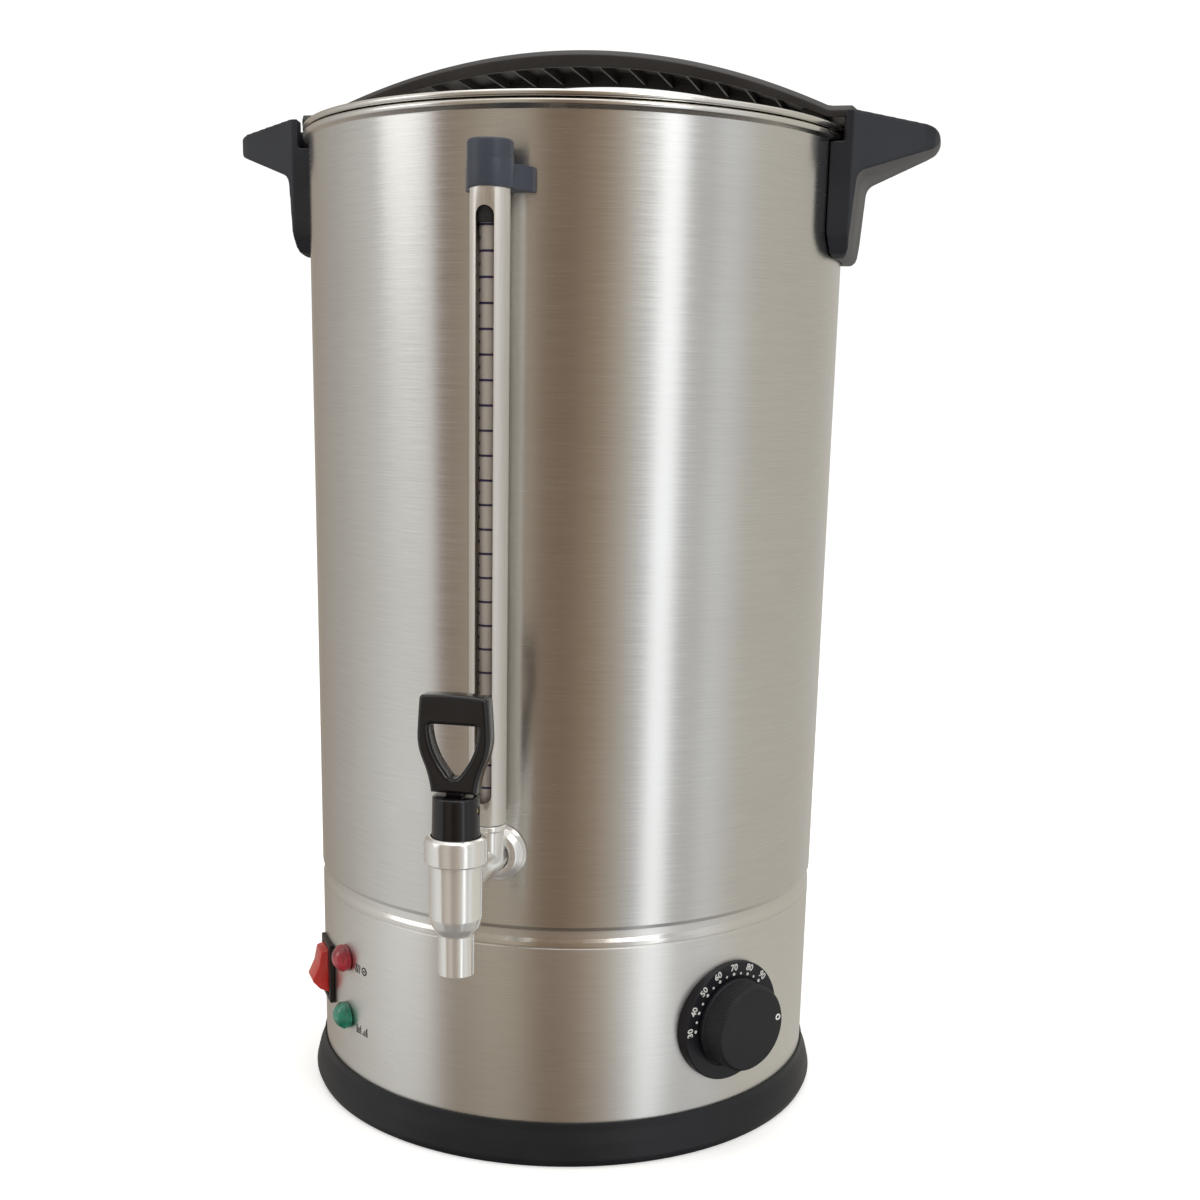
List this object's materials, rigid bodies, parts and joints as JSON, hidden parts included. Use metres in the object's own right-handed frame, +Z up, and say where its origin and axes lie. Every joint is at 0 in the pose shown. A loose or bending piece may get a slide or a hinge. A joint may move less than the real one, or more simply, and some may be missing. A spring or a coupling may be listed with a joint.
{
  "type": "electric brew kettle",
  "caption": "Tall electric steel kettle for heating brewing water, with a lever tap, a water gauge, a thermostat dial, two side handles and a turn-to-lock lid.",
  "frame": {"origin": "centre of the flat underside of the base", "axes": "+Z up along the kettle's axis; the tap faces -Y and the handles lie along X"},
  "size_m": [0.4278, 0.419, 0.6346],
  "materials": {
    "brushed_steel": "fine level brushing",
    "chrome": "polished chrome plate",
    "fasteners": "zinc plated",
    "spring_steel": "drawn stainless wire",
    "heater_alloy": "cast",
    "heater_tube": "heat-tinted tube",
    "brass": "plain",
    "base_plastic": "satin moulded",
    "handle_plastic": "satin moulded",
    "dial_plastic": "fine textured",
    "switch_plastic": "moulded",
    "cap_plastic": "satin moulded",
    "lever_plastic": "high gloss",
    "red_rocker": "gloss",
    "red_lens": "clear tinted",
    "green_lens": "clear tinted",
    "seal_rubber": "moulded",
    "silicone": "translucent grey",
    "ceramic": "unglazed",
    "gauge_glass": "clear tube"
  },
  "bodies": {
    "kettle": {"base_tray": "base_plastic", "foot_pad_1": "silicone", "foot_pad_2": "silicone", "foot_pad_3": "silicone", "tap_washer": "silicone", "base_screw_1": "fasteners", "base_screw_2": "fasteners", "base_screw_3": "fasteners", "handle_screw_left_1": "fasteners", "handle_screw_left_2": "fasteners", "handle_screw_right_1": "fasteners", "handle_screw_right_2": "fasteners", "thermostat_screw_1": "fasteners", "thermostat_screw_2": "fasteners", "lower_skirt": "brushed_steel", "outer_shell": "brushed_steel", "inner_tank": "brushed_steel", "gauge_guard": "brushed_steel", "heating_plate": "heater_alloy", "thermostat_body": "heater_alloy", "heating_element": "heater_tube", "thermal_cutout": "switch_plastic", "lamp_red_body": "switch_plastic", "lamp_green_body": "switch_plastic", "rocker_housing": "switch_plastic", "inlet_socket": "switch_plastic", "terminal_block": "ceramic", "dial_bezel": "dial_plastic", "thermostat_bulb": "brass", "inlet_pin_line": "brass", "inlet_pin_neutral": "brass", "inlet_pin_earth": "brass", "lever_pin": "brass", "lamp_red_lens": "red_lens", "lamp_green_lens": "green_lens", "tap_body": "chrome", "tap_bonnet_ring": "chrome", "tap_flange": "chrome", "tap_lock_nut": "chrome", "gauge_ring": "chrome", "tap_spring": "spring_steel", "tap_neck": "lever_plastic", "gauge_bottom_seal": "seal_rubber", "gauge_top_seal": "seal_rubber", "gauge_glass": "gauge_glass", "gauge_cap": "cap_plastic", "handle_left": "handle_plastic", "handle_right": "handle_plastic"},
    "lid_seal": {"lid_gasket": "silicone"},
    "lid": {"lid_plate": "brushed_steel", "lid_bridge": "handle_plastic", "lid_screw_1": "fasteners", "lid_screw_2": "fasteners"},
    "tap_handle": {"tap_lever": "lever_plastic"},
    "tap_valve": {"valve_stem": "chrome", "valve_cup": "silicone"},
    "dial_knob": {"thermostat_knob": "dial_plastic", "thermostat_shaft": "brass"},
    "power_rocker": {"rocker": "red_rocker"}
  },
  "joints": [
    {"name": "lid_lift", "type": "slide", "parent": "kettle", "child": "lid_seal", "axis": [0, 0, 1], "range_m": [0, 0.25]},
    {"name": "lid_twist", "type": "hinge", "parent": "lid_seal", "child": "lid", "pos_m": [0, 0, 0.575], "axis": [0, 0, 1], "range_deg": [-8, 0]},
    {"name": "lever_tilt", "type": "hinge", "parent": "kettle", "child": "tap_handle", "pos_m": [0, -0.2358, 0.2337], "axis": [1, 0, 0], "range_deg": [0, 20]},
    {"name": "valve_lift", "type": "slide", "parent": "kettle", "child": "tap_valve", "axis": [0, 0, 1], "range_m": [0, 0.0032], "stiffness_N_per_m": 500, "springref_m": -0.004, "deforming": ["tap_spring"]},
    {"name": "dial_turn", "type": "hinge", "parent": "kettle", "child": "dial_knob", "pos_m": [0.13396, -0.10466, 0.0786], "axis": [0.788, -0.6157, 0], "range_deg": [-75, 172]},
    {"name": "rocker_tilt", "type": "hinge", "parent": "kettle", "child": "power_rocker", "pos_m": [-0.13125, -0.08524, 0.08], "axis": [0.5446, -0.8387, 0], "range_deg": [0, 36]}
  ],
  "couplings": [
    {"joint": "lever_tilt", "follows": "valve_lift", "rad_per_m": 109}
  ]
}
